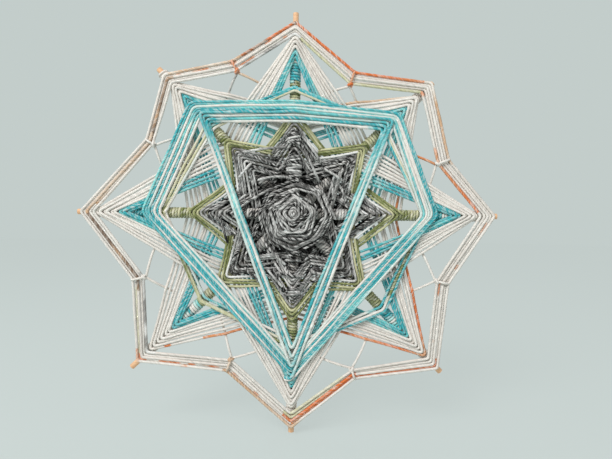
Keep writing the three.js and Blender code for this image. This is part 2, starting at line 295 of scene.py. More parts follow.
def settle(rounds=140, squeeze=0.93, pull=0.45, ease=0.5, nearby=10, held_ends=7, eye_reach=20):
    """Pulls every strand taut in depth, clear of the others and of the wound dowels."""
    counts = [len(s["nodes"]) for s in strands]
    nodes = np.concatenate([s["nodes"] for s in strands])
    owner = np.repeat(np.arange(len(strands)), counts)
    place = np.concatenate([np.arange(c) for c in counts])
    rank = np.array([s["rank"] for s in strands])[owner]
    loose = np.array([not s["fixed"] for s in strands])[owner]
    flat, depth = nodes[:, [0, 2]], nodes[:, 1].copy()
    first, second = crossing_pairs(flat, 2 * YARN_RADIUS)
    apart = (owner[first] != owner[second]) | (np.abs(place[first] - place[second]) > nearby)
    apart &= loose[first] | loose[second]
    to_end = np.concatenate([np.minimum(np.arange(c), np.arange(c)[::-1]) for c in counts])
    apart &= (to_end[first] > held_ends) | (to_end[second] > held_ends)
    first, second = first[apart], second[apart]
    lead = (rank[second] - rank[first]) * 1000.0 + depth[first] - depth[second]
    front, back = np.where(lead > 0, second, first), np.where(lead > 0, first, second)
    near = np.sum((flat[front] - flat[back]) ** 2, 1)
    run = np.gradient(flat, axis=0)
    run /= np.linalg.norm(run, axis=1)[:, None] + 1e-9
    cross = np.abs(run[front, 0] * run[back, 1] - run[front, 1] * run[back, 0])
    level = np.abs(depth[front] - depth[back])
    beside = (cross < 0.35) & ((near > (1.15 * YARN_RADIUS) ** 2) | (level < 0.6))
    need = squeeze * np.sqrt(np.maximum((2 * YARN_RADIUS) ** 2 - near, 0)) * ~beside
    inner = np.zeros(len(nodes), bool)
    inner[1:-1] = (owner[:-2] == owner[2:]) & loose[1:-1]
    inner = np.nonzero(inner)[0]
    dowels = []
    for index, (_, angle, reach, level) in enumerate(ARMS):
        axis = towards(angle)
        run = flat @ axis
        aside = np.abs(flat @ np.array((-axis[1], axis[0])))
        limit = np.where(run < COIL_REACH[index], SEAT, COIL_RADIUS)
        close = np.nonzero((run > eye_reach) & (run < reach) & (aside < limit) & loose)[0]
        side = np.where((depth[close] < level) | (rank[close] >= 1), -1.0, 1.0)
        dowels.append((close, side, level + side * np.sqrt(limit[close] ** 2 - aside[close] ** 2)))
    for _ in range(rounds):
        depth[inner] += pull * ((depth[inner - 1] + depth[inner + 1]) / 2 - depth[inner])
        for _ in range(2):
            short = np.maximum(need - (depth[back] - depth[front]), 0)
            push = np.bincount(back, short, len(nodes)) - np.bincount(front, short, len(nodes))
            hits = np.bincount(back, short > 0, len(nodes)) + np.bincount(front, short > 0, len(nodes))
            depth += np.where(loose, ease * push / np.maximum(hits, 1), 0)
        for close, side, limit in dowels:
            depth[close] = np.where(side < 0, np.minimum(depth[close], limit), np.maximum(depth[close], limit))
    nodes[:, 1] = depth
    ends = np.cumsum(counts)
    for strand, end, count in zip(strands, ends, counts):
        strand["nodes"] = nodes[end - count:end]


# The windings, and where each of their turns meets an arm

def star_tip(arm, turn):
    if turn <= STAR_WHITE_TURNS:
        return between(STAR_OUTER[arm], STAR_CHANGE[arm], turn / STAR_WHITE_TURNS)
    return between(STAR_CHANGE[arm], STAR_INNER[arm], (turn - STAR_WHITE_TURNS) / STAR_TURQUOISE_TURNS)


def star_valley(arm, turn):
    return between(VALLEY_OUTER[arm], VALLEY_INNER[arm], turn / (STAR_WHITE_TURNS + STAR_TURQUOISE_TURNS))


def wind_zigzag(piece, shift, turns, paint):
    """The turns of a star's zigzag: its tips in front of every other arm, its valleys behind the rest."""
    corners = []
    previous = None
    rng = np.random.default_rng(60 + shift + turns[0])
    for step in range(turns[0] * ARM_COUNT, turns[1] * ARM_COUNT + 1):
        arm = (shift + step) % ARM_COUNT
        progress = step / ARM_COUNT
        if step % 2:
            flat = on_arm(arm, star_tip(arm, progress) + rng.uniform(-0.35, 0.35))
            corner = (flat, arm_depth(arm) - SEAT - pile(int(progress), 2, 0.5), True)
        else:
            flat = on_arm(arm, star_valley(arm, progress) + rng.uniform(-0.8, 0.8))
            corner = (flat, arm_depth(arm) + SEAT + 0.4, False)
        if previous is not None and not is_diagonal(shift + 1):
            valley, tip = (corner, previous) if previous[2] else (previous, corner)
            run = tip[0] - valley[0]
            dive = valley[0] + run * DIVE_REACH / np.linalg.norm(run)
            corners.append((dive[0], DIVE_DEPTH, dive[1]))
        corners.append((corner[0][0], corner[1], corner[0][1]))
        previous = corner
    lay(piece, corners, paint, bend=3.0)


def side_crossing(start, end, arm):
    """Where the straight side from start to end passes an arm."""
    run = end - start
    axis = towards(ARMS[arm % ARM_COUNT][1])
    reach = (start[0] * run[1] - start[1] * run[0]) / (axis[0] * run[1] - axis[1] * run[0])
    return axis * reach


def wind_square(piece, first, turns, paint, behind=False, width=1.0):
    """The turns of a square: its tips in front of its own arms, its sides behind the others."""
    rng = np.random.default_rng(len(strands) + 17)
    tips = []
    for step in range(turns[0] * 4, turns[1] * 4 + 1):
        arm = first + 2 * step
        drop = np.interp(step / 4, range(len(SQUARE_DROPS)), SQUARE_DROPS)
        tips.append((arm, on_arm(arm, SQUARE_OUTER[arm % ARM_COUNT] - drop + rng.uniform(-0.45, 0.45))))
    corners = []
    for step, ((arm, start), (_, end)) in enumerate(zip(tips, tips[1:])):
        waist = SQUARE_WAIST[(arm + 1) % ARM_COUNT] * between(1.0, 0.9, min(turns[0] / 8, 1))
        middle = side_crossing(start, end, arm + 1) * waist
        level = SEAT if behind else -SEAT
        level -= pile(turns[0] + step // 4, 2, 0.9)
        corners.append((start[0], arm_depth(arm) + level, start[1]))
        corners.append((middle[0], arm_depth(arm + 1) + SEAT, middle[1]))
    corners.append((tips[-1][1][0], arm_depth(tips[-1][0]) + level, tips[-1][1][1]))
    lay(piece, corners, paint, rank=0.5, bend=3.4, wander=0.45, width=width)


def band(piece, corners, turns, paints, rank, bend=4.0, width=1.0):
    """A band of strands over some arms: corners are (arm, outermost reach, innermost reach)."""
    count = len(corners)
    whole = []
    for step in range(turns * count + 1):
        turn = max(step - 1, 0) // count
        arm, outer, inner = corners[step % count]
        share = min((turn + (step - turn * count) / count) / (turns - 1), 1.12)
        flat = on_arm(arm, between(outer, inner, share))
        whole.append((flat[0], arm_depth(arm) - SEAT - 0.6 * rank - pile(turn + 1, 2, 0.5), flat[1]))
    arm = corners[0][0]
    axis = towards(ARMS[arm][1])
    aside = np.array((-axis[1], axis[0])) * 5.0
    tucked = []
    for end, side in ((whole[0], -1), (whole[-1], 1)):
        tucked.append((end[0] + side * aside[0], arm_depth(arm) + 2.0, end[2] + side * aside[1]))
    lay(piece, [tucked[0], *whole, tucked[1]], paints, rank=rank, bend=bend, wander=0.25, width=width)


# Paints: the colour of each node of a strand, before its plies get their tones and the painted shade of their grooves

def tint(name):
    return np.array(getattr(bpy.context.scene.ojo_wool, name))


def blend(low, high, share):
    share = np.clip(share, 0, 1)[:, None]
    return tint(low) * (1 - share) + tint(high) * share


def spun(low, high, base, swing, length):
    """A paint that drifts between two of the wool's colours along a strand."""
    def paint(along, seed, *_):
        return blend(low, high, base + swing * drift(seed, along, length))

    return paint


paint_cream = spun("cream", "rosy", 0.25, 0.4, 45.0)
paint_straw = spun("cream", "straw", 0.7, 0.3, 30.0)
paint_orange = spun("orange", "tan", 0.25, 0.5, 22.0)
paint_tan = spun("tan", "cream", 0.35, 0.6, 18.0)
paint_brown = spun("brown", "tan", 0.4, 0.6, 12.0)
paint_rust = spun("brown", "orange", 0.55, 0.6, 7.0)
paint_grayed = spun("ash", "slate", 0.35, 0.5, 9.0)
paint_foam = spun("cream", "mist", 0.25, 0.8, 35.0)
paint_moss = spun("olive", "straw", 0.35, 1.2, 15.0)
paint_leaf = spun("olive", "straw", 0.6, 1.0, 22.0)
paint_marl = spun("charcoal", "ash", 0.3, 0.62, 30.0)
paint_rose = spun("charcoal", "ash", 0.35, 0.6, 13.0)
paint_pale_marl = spun("slate", "ash", 0.45, 0.5, 20.0)
paint_frost = spun("ash", "slate", 0.45, 0.8, 16.0)
# Painted shadow: the underlay behind the squares stays near charcoal, so the gaps between the front strands look dark
paint_shadow_underlay = spun("charcoal", "slate", 0.1, 0.2, 30.0)


def paint_fleck(along, seed, *_):
    fleck = np.clip(drift(seed, along, 7.0) * 1.4 - 0.35, 0, 0.65)
    return blend("cream", "orange", fleck)


def paint_dapple(along, seed, *_):
    return blend("cream", "orange", np.clip(drift(seed, along, 5.0) * 2.5, 0, 0.85))


def paint_sea(along, seed, *_, white=0.45, length=55.0):
    """Turquoise wool that fades to white and back along its length."""
    tone = 0.5 + 1.5 * drift(seed, along, length) + (0.45 - white)
    colour = blend("cream", "mist", tone * 4)
    colour = np.where(tone[:, None] > 0.25, blend("mist", "aqua", (tone - 0.25) * 4), colour)
    return np.where(tone[:, None] > 0.5, blend("aqua", "teal", (tone - 0.5) * 2.5), colour)


def paint_rings(along, seed, *_):
    return paint_sea(along, seed, white=0.4, length=28.0)


def paint_deep(along, seed, *_):
    tone = drift(seed, along, 26.0)
    return np.where(tone[:, None] > 0, blend("teal", "aqua", tone * 1.1), blend("teal", "mist", -0.65 - tone))


# The ring's colours on the two halves of each arm, from its outermost strand inwards
RING_PAINTS = {
    "W": paint_cream, "C": paint_straw, "O": paint_orange, "T": paint_tan,
    "B": paint_brown, "D": paint_dapple, "F": paint_fleck, "G": paint_grayed, "R": paint_rust,
}
RING_COLOURS = (
    ("WFWWW", "WWWWO"), ("TWWWF", "OWWWC"), ("OWWWC", "RFWFG"), ("TFWWW", "WWBWW"),
    ("WWTTW", "WWBWW"), ("WCWWG", "FDWWW"), ("TFWWW", "WOOCC"), ("WOWWW", "WWWFW"),
)
# Where the ring's strands lie in its width
RING_SHARES = (0.0, 0.22, 0.44, 0.66, 1.0)


def paint_ring(along, seed, step, turn):
    """The ring's strands change colour half way between a tip and a valley."""
    colour = paint_cream(along, seed)
    for place in range(2 * ARM_COUNT):
        arm, half = divmod(place, 2)
        paint = RING_PAINTS[RING_COLOURS[arm][half][turn]]
        here = (step > place + 0.15 * math.sin(place * 5 + turn)) & (step <= place + 1.4)
        colour = np.where(here[:, None], paint(along, seed + place), colour)
    return colour


def wind_ring():
    """Five strands over each arm's end, drawn in by a tie in each valley."""
    for turn, share in enumerate(RING_SHARES):
        corners = []
        for arm in range(ARM_COUNT + 1):
            valley = (arm - 1) % ARM_COUNT
            arm %= ARM_COUNT
            flat = between(np.array(RING_VALLEYS[valley]), np.array(RING_KNOTS[valley]), turn / (len(RING_SHARES) - 1))
            corners.append((flat[0], CROSS_DEPTH / 2 - SEAT - pile(turn + 1, 2, 1.2), flat[1]))
            tip = on_arm(arm, RING_OUTER[arm] - share * RING_WIDTH[arm])
            corners.append((tip[0], arm_depth(arm) - SEAT - pile(turn + 1, 2, 0.8), tip[1]))
        lay("outer_ring", corners[:-1], paint_ring, bend=1.6)


def wind_star():
    whole = STAR_WHITE_TURNS + STAR_TURQUOISE_TURNS
    for name, shift, paint in (("cardinal", 1, paint_cream), ("diagonal", 0, paint_edge)):
        wind_zigzag(f"star_{name}_white", shift, (0, STAR_WHITE_TURNS), paint)
        wind_zigzag(f"star_{name}_turquoise", shift, (STAR_WHITE_TURNS, whole), paint_deep)


# Coloured stretches of the star's edge: from and to, in rounds of the winding, and the paint
STAR_EDGES = (
    (0.13, 0.2, paint_tan), (0.63, 0.67, paint_dapple), (0.67, 1.04, paint_orange), (1.04, 1.1, paint_fleck),
)


def paint_edge(along, seed, step, _):
    """White, with an orange stretch round the lower right tip of the outermost turn."""
    share = np.minimum(step / ARM_COUNT, 2)
    colour = paint_cream(along, seed)
    for start, end, paint in STAR_EDGES:
        colour = np.where(((share > start) & (share < end))[:, None], paint(along, seed), colour)
    return colour


BAND_PAINTS = {"S": paint_deep, "W": paint_foam, "M": paint_sea, "G": paint_moss, "P": paint_straw}


def band_paint(colours, first=1):
    """Paints each turn of a band side by side, with a fade where the wool changes."""
    sides = len(colours[0])

    def paint_band(along, seed, step, _):
        colour = paint_sea(along, seed)
        for turn, row in enumerate(colours):
            for side, letter in enumerate(row):
                start = first + turn * sides + side + 0.12 * math.sin(3 * turn + 5 * side) - 0.06
                fresh = BAND_PAINTS[letter](along, seed + turn * sides + side)
                share = np.clip((step - start) * 8, 0, 1)[:, None]
                colour = colour * (1 - share) + fresh * share
        return colour

    return paint_band


def wind_octagon():
    rng = np.random.default_rng(11)
    corners = []
    for step in range(OCTAGON_TURNS * ARM_COUNT + 1):
        arm = (6 + step) % ARM_COUNT
        flat = on_arm(arm, OCTAGON_REACH[arm] - OCTAGON_STEP * step / ARM_COUNT + rng.uniform(-1.4, 1.4))
        corners.append((flat[0], arm_depth(arm) - SEAT, flat[1]))
    lay("octagon_strands", corners, band_paint(OCTAGON_COLOURS, first=0), rank=1, bend=1.8, wander=0.4)


# The squares from the outside, with a dark underlay painted as the shadow behind the front strands: square, first and
# last turn, paint, behind, width
SQUARE_LAYERS = (
    ("green", (0, 3), paint_moss, False, 0.88),
    ("gray", (3, 4), paint_frost, False, 0.84),
    ("gray", (4, 7), paint_marl, False, 0.8),
    ("gray", (7, 8), paint_pale_marl, False, 0.84),
    ("inner", (8, 9), paint_pale_marl, False, 0.84),
    ("inner", (9, 11), paint_marl, False, 0.8),
    ("inner", (12, 17), paint_shadow_underlay, True, 1.15),
    ("gray", (5, 12), paint_shadow_underlay, True, 1.15),
)


def wind_squares():
    for name, first in (("cardinal", 0), ("diagonal", 1)):
        for square, turns, paint, behind, width in SQUARE_LAYERS:
            wind_square(f"{square}_square_{name}", first, turns, paint, behind, width)


def wind_bands():
    band("pentagon_band", PENTAGON_CORNERS, PENTAGON_TURNS, band_paint(PENTAGON_COLOURS), rank=2, width=0.94)
    band("triangle_band", TRIANGLE_CORNERS, TRIANGLE_TURNS, band_paint(TRIANGLE_COLOURS), rank=3, width=1.06)


def wind_tie_legs():
    """The two ends of each tie, which run in from the knot and round behind the star's outermost strands."""
    for valley, (outer, inner, ends) in enumerate(zip(RING_VALLEYS, RING_KNOTS, TIE_ENDS)):
        level = CROSS_DEPTH / 2 - SEAT - 1.5
        knot = between(np.array(outer), np.array(inner), 1.18)
        for end, paint in zip(ends, LEG_PAINTS.get(valley, (paint_cream, paint_cream))):
            far = np.array(end)
            past = far + (far - knot) * 5.0 / np.linalg.norm(far - knot)
            lay(
                f"valley_tie_{ARMS[valley][0]}",
                [(knot[0], level, knot[1]), (far[0], level + 2.0, far[1]), (past[0], level + 5.0, past[1])],
                paint, rank=-0.5, wander=0.25, width=0.9,
            )


def wind_tie_wraps():
    """The turns and the small knot that bind the ring in each valley."""
    for valley, (outer, inner) in enumerate(zip(RING_VALLEYS, RING_KNOTS)):
        outer, inner = np.array(outer), np.array(inner)
        inward = (inner - outer) / np.linalg.norm(inner - outer)
        across = np.array((-inward[1], inward[0]))
        middle, half = (outer + inner) / 2, np.linalg.norm(inner - outer) / 2 + 0.6
        level = CROSS_DEPTH / 2 - SEAT - 0.7
        path = []
        for step in range(17):
            turn = 2 * math.pi * step / 12 + 1.2
            aside = -1.4 + 2.8 * step / 16
            flat = middle + inward * half * math.cos(turn) + across * aside
            path.append((flat[0], level + 2.9 * math.sin(turn), flat[1]))
        paint = TIE_PAINTS[valley]
        lay(f"valley_tie_{ARMS[valley][0]}", path, paint, bend=0.6, wander=0, width=0.85)
        knot = outer + inward * (2 * half - 0.6)
        path = []
        for step in range(11):
            turn = 2 * math.pi * step / 8
            flat = knot + inward * 1.0 * math.cos(turn) + across * 1.3 * math.sin(turn * 0.5 + 0.6)
            path.append((flat[0], level - 1.2 + 1.1 * math.sin(turn), flat[1]))
        lay(f"valley_tie_{ARMS[valley][0]}", path, paint, bend=0.5, wander=0)


def wind_loose_strands():
    for start, end in LOOSE_STRANDS:
        start, end = np.array(start), np.array(end)
        near, far = between(start, end, 0.2), between(start, end, 0.8)
        corners = [
            (start[0], 0.0, start[1]), (near[0], LOOSE_DEPTH, near[1]),
            (far[0], LOOSE_DEPTH, far[1]), (end[0], 0.0, end[1]),
        ]
        lay("loose_strands", corners, paint_rose, rank=1.5, wander=0.7, width=0.86)
    rng = np.random.default_rng(41)
    for arm, start, end in PETAL_WRAPS:
        for reach in np.arange(start, end, WRAP_PITCH):
            tilt = rng.uniform(-1.2, 1.2)
            place = math.copysign(reach, towards(ARMS[arm][1])[1])
            half = rng.uniform(3.7, 4.5)
            corners = [
                (-half - 1.0, 1.0, place - tilt), (-half + 1.2, WRAP_DEPTH, place - tilt / 2),
                (half - 1.2, WRAP_DEPTH, place + tilt / 2), (half + 1.0, 1.0, place + tilt),
            ]
            lay("eye_rose", corners, paint_rose, rank=1, wander=0.3, width=0.84)


def wind_coils():
    """The wool wound round each arm, gray, then green, then turquoise, then white."""
    for index, (name, angle, _, level) in enumerate(ARMS):
        axis = towards(angle)
        aside = np.array((-axis[1], axis[0]))
        stops = (*COIL_STOPS, STAR_INNER[index] + 1.0, COIL_REACH[index])
        paints = (paint_marl, paint_leaf, paint_rings, paint_cream)
        rng = np.random.default_rng(900 + index)
        phase = rng.uniform(0, 2 * math.pi)
        for start, end, paint in zip(stops, stops[1:], paints):
            turns = (end - start) / COIL_PITCH
            steps = int(turns * COIL_STEPS)
            t = np.arange(steps + 1) / COIL_STEPS
            turn = phase + 2 * math.pi * t
            along = start + t * COIL_PITCH
            swell = COIL_RADIUS * (1 + 0.035 * drift(index * 3 + int(start), along, 6.0))
            flat = along[:, None] * axis + (swell * np.cos(turn))[:, None] * aside
            path = np.stack([flat[:, 0], level + swell * np.sin(turn), flat[:, 1]], 1)
            lay(f"arm_wrap_{name}", path, paint, bend=0.5, wander=0)
            phase = turn[-1]


# The eye's windings from the outside: turns, outer and inner reach, sides, angle of the first corner, paint
EYE_STEPS = (
    (4, 27.5, 19.5, 8, 0.0, paint_marl), (5, 21.0, 12.0, 5, 90.0, paint_rose),
    (7, 15.0, 0.8, 4, 90.0, paint_rose),
)
EYE_MIDDLES = ((0.6, -1.6), (0.2, -1.4), (0.0, 0.0))


def wind_eye():
    """A rounded rose over the crossed dowels, its last turns a diamond."""
    rng = np.random.default_rng(5)
    for level, (turns, outer, inner, sides, turned, paint) in enumerate(EYE_STEPS):
        path = []
        middle = np.array(EYE_MIDDLES[level])
        shape = rng.uniform(-1.6, 1.6, sides)
        for step in range(turns * sides + 1):
            progress = step / (turns * sides)
            spread = towards(turned + 360.0 * step / sides + rng.uniform(-5.0, 5.0))
            reach = between(outer, inner, progress) * between(1.0, 0.93, max(spread[1], 0) ** 2)
            flat = middle + spread * (reach + shape[step % sides] * min(reach / 12, 1) + rng.uniform(-0.7, 0.7))
            rise = 5.0 + 2.9 * level + 2.6 * math.sin(progress * math.pi / 2) + rng.uniform(-0.5, 0.5)
            path.append((flat[0], -rise, flat[1]))
        lay("eye_rose", path, paint, bend=3.2, wander=0.7, width=0.86)
    for row in range(-2, 3):
        aside = 2.1 * row
        bow = 0.4 * abs(row)
        lay("eye_rose", [(-9.0, 7.5, aside), (0, 9.9 - bow, aside), (9.0, 7.5, aside)], paint_marl, wander=0.3)
        lay("eye_rose", [(aside, 8.5, -9.5), (aside, 11.9 - bow, 0), (aside, 8.5, 9.5)], paint_marl, wander=0.3)


TIE_PAINTS = (
    paint_cream, paint_orange, paint_orange, paint_cream,
    paint_cream, paint_tan, paint_cream, paint_cream,
)
LEG_PAINTS = {0: (paint_cream, paint_orange), 2: (paint_tan, paint_grayed)}


def wind_everything():
    """Lays every strand in the maker's order. The last three lie on what has settled."""
    wind_ring()
    wind_star()
    wind_octagon()
    wind_squares()
    wind_bands()
    wind_tie_legs()
    wind_loose_strands()
    settle()
    wind_tie_wraps()
    wind_coils()
    wind_eye()


# From strands to meshes

# Paints whose plies differ from one another, dark against pale
MARLED = (paint_marl, paint_rose, paint_pale_marl)


def to_linear(colour):
    return np.where(colour <= 0.04045, colour / 12.92, ((colour + 0.055) / 1.055) ** 2.4)


def ply_section():
    """The strand's section: one ridge a ply."""
    sides = 2 * PLY_COUNT
    curve = bpy.data.curves.new("ply_section", "CURVE")
    curve.dimensions = "2D"
    spline = curve.splines.new("POLY")
    spline.points.add(sides - 1)
    for side, point in enumerate(spline.points):
        turn = 2 * math.pi * side / sides
        reach = bpy.context.scene.ojo_wool.thickness / 2 * (1.0 if side % 2 == 0 else 0.87)
        point.co = (reach * math.cos(turn), reach * math.sin(turn), 0, 1)
    spline.use_cyclic_u = True
    section = bpy.data.objects.new("ply_section", curve)
    bpy.context.scene.collection.objects.link(section)
    return section


def spin_wool(name, finish):
    """Makes one mesh of all the strands of a piece, with their plies twisted round one another, and painted shade
    darkening the grooves between the plies.
    """
    section = bpy.data.objects.get("ply_section") or ply_section()
    lay_length = bpy.context.scene.ojo_wool.lay / MM
    mine = [s for s in strands if s["piece"] == name]
    curve = bpy.data.curves.new(name, "CURVE")
    curve.dimensions = "3D"
    curve.twist_mode = "MINIMUM"
    curve.bevel_mode = "OBJECT"
    curve.bevel_object = section
    shades, places = [], []
    for strand in mine:
        nodes, along = strand["nodes"] * MM, strand["along"]
        count = len(nodes)
        spline = curve.splines.new("POLY")
        spline.points.add(count - 1)
        spline.points.foreach_set("co", np.concatenate([nodes, np.ones((count, 1))], 1).ravel())
        spline.points.foreach_set("tilt", (2 * math.pi * along / lay_length + strand["seed"]) % (2 * math.pi * 64))
        radius = strand["width"] * (1 + 0.05 * drift(strand["seed"] + 2, along, 5.0))
        radius[[0, -1]] = 0.3
        spline.points.foreach_set("radius", radius)
        colour = strand["paint"](along, strand["seed"], strand["step"], len(shades))
        marl = strand["paint"] in MARLED
        # The painted-shadow underlay gets few pale streaks, so it stays dark
        amount = 0.95 if marl else 0.2 if strand["paint"] is paint_shadow_underlay else 0.6
        streaks = amount * (0.7 + 0.3 * drift(strand["seed"] + 9, along, 12.0))
        plies = []
        for ply in range(PLY_COUNT):
            tone = 1 + (0.26 if marl else 0.05) * drift(strand["seed"] + 3 + ply, along, 9.0)[:, None]
            ridge = np.concatenate([to_linear(np.clip(colour * tone, 0.02, 1)), streaks[:, None]], 1)
            # Painted shade: the vertices in the grooves between plies are darkened and carry fewer pale streaks, as
            # shade falls there
            groove_painted_shade = 0.52 if marl else 0.8
            plies += [ridge, ridge * (groove_painted_shade, groove_painted_shade, groove_painted_shade, 0.7)]
        shades.append(np.stack(plies, 1).reshape(-1, 4))
        turns = np.arange(2 * PLY_COUNT) * math.pi / PLY_COUNT
        place = np.zeros((count, 2 * PLY_COUNT, 3))
        place[..., 0], place[..., 1] = YARN_RADIUS * np.cos(turns), YARN_RADIUS * np.sin(turns)
        place[..., 2] = along[:, None] + 37.0 * strand["seed"]
        places.append(place.reshape(-1, 3) * MM)
    wound = bpy.data.objects.new(name, curve)
    bpy.context.scene.collection.objects.link(wound)
    graph = bpy.context.evaluated_depsgraph_get()
    mesh = bpy.data.meshes.new_from_object(wound.evaluated_get(graph), depsgraph=graph)
    bpy.data.objects.remove(wound)
    bpy.data.curves.remove(curve)
    attribute = mesh.color_attributes.new("wool", "FLOAT_COLOR", "POINT")
    attribute.data.foreach_set("color", np.concatenate(shades).astype(np.float32).ravel())
    attribute = mesh.attributes.new("lay", "FLOAT_VECTOR", "POINT")
    attribute.data.foreach_set("vector", np.concatenate(places).astype(np.float32).ravel())
    mesh.shade_smooth()
    mesh.materials.clear()
    mesh.materials.append(finish)
    piece = bpy.data.objects.new(name + "_wool", mesh)
    bpy.context.scene.collection.objects.link(piece)
    return piece


# Finishes

def solid_colour(colour):
    """A colour of the settings, as a node takes it."""
    return (*to_linear(np.array(colour)), 1)


def fill(node, **values):
    """Sets a node's inputs by their names."""
    for name, value in values.items():
        node.inputs[name.replace("_", " ")].default_value = value
    return node


def new_finish(name):
    finish = bpy.data.materials.new(name)
    finish.use_nodes = True
    return finish, finish.node_tree.nodes, finish.node_tree.links, finish.node_tree.nodes["Principled BSDF"]


def wool_finish(name, pale):
    """Spun wool: each ply has its own tone, darkened by painted shade in the grooves between plies, with streaks of
    paler fibres that follow the plies.
    """
    settings = bpy.context.scene.ojo_wool
    finish, nodes, links, shader = new_finish(name)
    shade = nodes.new("ShaderNodeAttribute")
    shade.attribute_name = "wool"
    place = nodes.new("ShaderNodeAttribute")
    place.attribute_name = "lay"

    def fibres(across, along, detail):
        drawn = fill(nodes.new("ShaderNodeMapping"), Scale=(across, across, along))
        noise = fill(nodes.new("ShaderNodeTexNoise"), Scale=1.0, Detail=detail, Roughness=0.6)
        links.new(place.outputs["Vector"], drawn.inputs["Vector"])
        links.new(drawn.outputs["Vector"], noise.inputs["Vector"])
        return noise.outputs["Fac"]

    streak = fill(nodes.new("ShaderNodeMapRange"), From_Min=0.50, From_Max=0.57)
    share = nodes.new("ShaderNodeMath")
    share.operation = "MULTIPLY"
    streaked = nodes.new("ShaderNodeMix")
    streaked.data_type = "RGBA"
    fill(streaked, B=solid_colour(getattr(settings, pale)))
    spread = fill(nodes.new("ShaderNodeMapRange"), From_Min=0.3, From_Max=0.7, To_Min=0.88, To_Max=1.12)
    mottle = nodes.new("ShaderNodeMix")
    mottle.data_type = "RGBA"
    mottle.blend_type = "MULTIPLY"
    fill(mottle, Factor=1.0)
    bump = fill(nodes.new("ShaderNodeBump"), Strength=settings.fibre, Distance=0.00008)
    fine = fibres(4200.0, 700.0, 3.0)
    links.new(fibres(760.0, 95.0, 1.0), streak.inputs["Value"])
    links.new(streak.outputs["Result"], share.inputs[0])
    links.new(shade.outputs["Alpha"], share.inputs[1])
    links.new(share.outputs[0], streaked.inputs["Factor"])
    links.new(shade.outputs["Color"], streaked.inputs["A"])
    links.new(fine, spread.inputs["Value"])
    links.new(streaked.outputs["Result"], mottle.inputs["A"])
    links.new(spread.outputs["Result"], mottle.inputs["B"])
    links.new(mottle.outputs["Result"], shader.inputs["Base Color"])
    links.new(fine, bump.inputs["Height"])
    links.new(bump.outputs["Normal"], shader.inputs["Normal"])
    fill(shader, Roughness=1.0, Specular_IOR_Level=0.05, Sheen_Weight=0.04, Sheen_Roughness=0.6)
    return finish


def dowel_finish(name, angle):
    """Sanded birch, its grain along the dowel."""
    pale = bpy.context.scene.ojo_dowels.wood
    deep = bpy.context.scene.ojo_dowels.grain
    finish, nodes, links, shader = new_finish(name)
    place = nodes.new("ShaderNodeTexCoord")
    turned = fill(nodes.new("ShaderNodeMapping"), Rotation=(0, math.radians(angle), 0), Scale=(40, 900, 900))
    grain = fill(nodes.new("ShaderNodeTexNoise"), Scale=1.0, Detail=4.0, Distortion=0.4)
    colours = nodes.new("ShaderNodeValToRGB")
    colours.color_ramp.elements[0].position = 0.34
    colours.color_ramp.elements[0].color = solid_colour(deep)
    colours.color_ramp.elements[1].position = 0.62
    colours.color_ramp.elements[1].color = solid_colour(pale)
    bump = fill(nodes.new("ShaderNodeBump"), Strength=0.25, Distance=0.0001)
    links.new(place.outputs["Object"], turned.inputs["Vector"])
    links.new(turned.outputs["Vector"], grain.inputs["Vector"])
    links.new(grain.outputs["Fac"], colours.inputs["Fac"])
    links.new(colours.outputs["Color"], shader.inputs["Base Color"])
    links.new(grain.outputs["Fac"], bump.inputs["Height"])
    links.new(bump.outputs["Normal"], shader.inputs["Normal"])
    fill(shader, Roughness=0.6)
    return finish


def seen_rays(nodes, links):
    """1 for the rays that show a surface or the backdrop itself, 0 for those that light."""
    light = nodes.new("ShaderNodeLightPath")
    first = nodes.new("ShaderNodeMath")
    second = nodes.new("ShaderNodeMath")
    second.use_clamp = True
    links.new(light.outputs["Is Camera Ray"], first.inputs[0])
    links.new(light.outputs["Is Glossy Ray"], first.inputs[1])
    links.new(first.outputs[0], second.inputs[0])
    links.new(light.outputs["Is Transmission Ray"], second.inputs[1])
    return second.outputs[0]


def plain_finish(name, colour, glow):
    """A matte floor that shows its own colour to the camera and keeps a shadow."""
    finish, nodes, links, shader = new_finish(name)
    own = solid_colour(colour)
    paler = (*(min(1.0, part * 1.1) for part in own[:3]), 1)
    fill(shader, Base_Color=paler, Roughness=1.0, Specular_IOR_Level=0.0)
    lit = fill(nodes.new("ShaderNodeEmission"), Color=own)
    part = nodes.new("ShaderNodeMath")
    part.operation = "MULTIPLY"
    part.inputs[1].default_value = glow
    mix = nodes.new("ShaderNodeMixShader")
    links.new(seen_rays(nodes, links), part.inputs[0])
    links.new(part.outputs[0], mix.inputs[0])
    links.new(shader.outputs[0], mix.inputs[1])
    links.new(lit.outputs[0], mix.inputs[2])
    links.new(mix.outputs[0], nodes["Material Output"].inputs["Surface"])
    return finish


def daylight(colour, strength):
    """White light from all round, behind the pale backdrop that the camera sees."""
    world = bpy.data.worlds.new("daylight")
    world.use_nodes = True
    nodes, links = world.node_tree.nodes, world.node_tree.links
    fill(nodes["Background"], Color=(1, 1, 1, 1), Strength=strength)
    backdrop = fill(nodes.new("ShaderNodeBackground"), Color=solid_colour(colour), Strength=BACKDROP_GLOW)
    mix = nodes.new("ShaderNodeMixShader")
    links.new(seen_rays(nodes, links), mix.inputs[0])
    links.new(nodes["Background"].outputs[0], mix.inputs[1])
    links.new(backdrop.outputs[0], mix.inputs[2])
    links.new(mix.outputs[0], nodes["World Output"].inputs["Surface"])
    return world


# What a user may change

class OJO_PG_dowels(bpy.types.PropertyGroup):
    wood: bpy.props.FloatVectorProperty(
        name="Wood", description="Colour of the sanded dowels",
        default=(0.93, 0.76, 0.60), min=0, max=1, subtype="COLOR_GAMMA")
    grain: bpy.props.FloatVectorProperty(
        name="Grain", description="Colour of the darker grain",
        default=(0.86, 0.66, 0.49), min=0, max=1, subtype="COLOR_GAMMA")


def wool_colour(name, description, default):
    return bpy.props.FloatVectorProperty(
        name=name, description=description, default=default, min=0, max=1, subtype="COLOR_GAMMA")


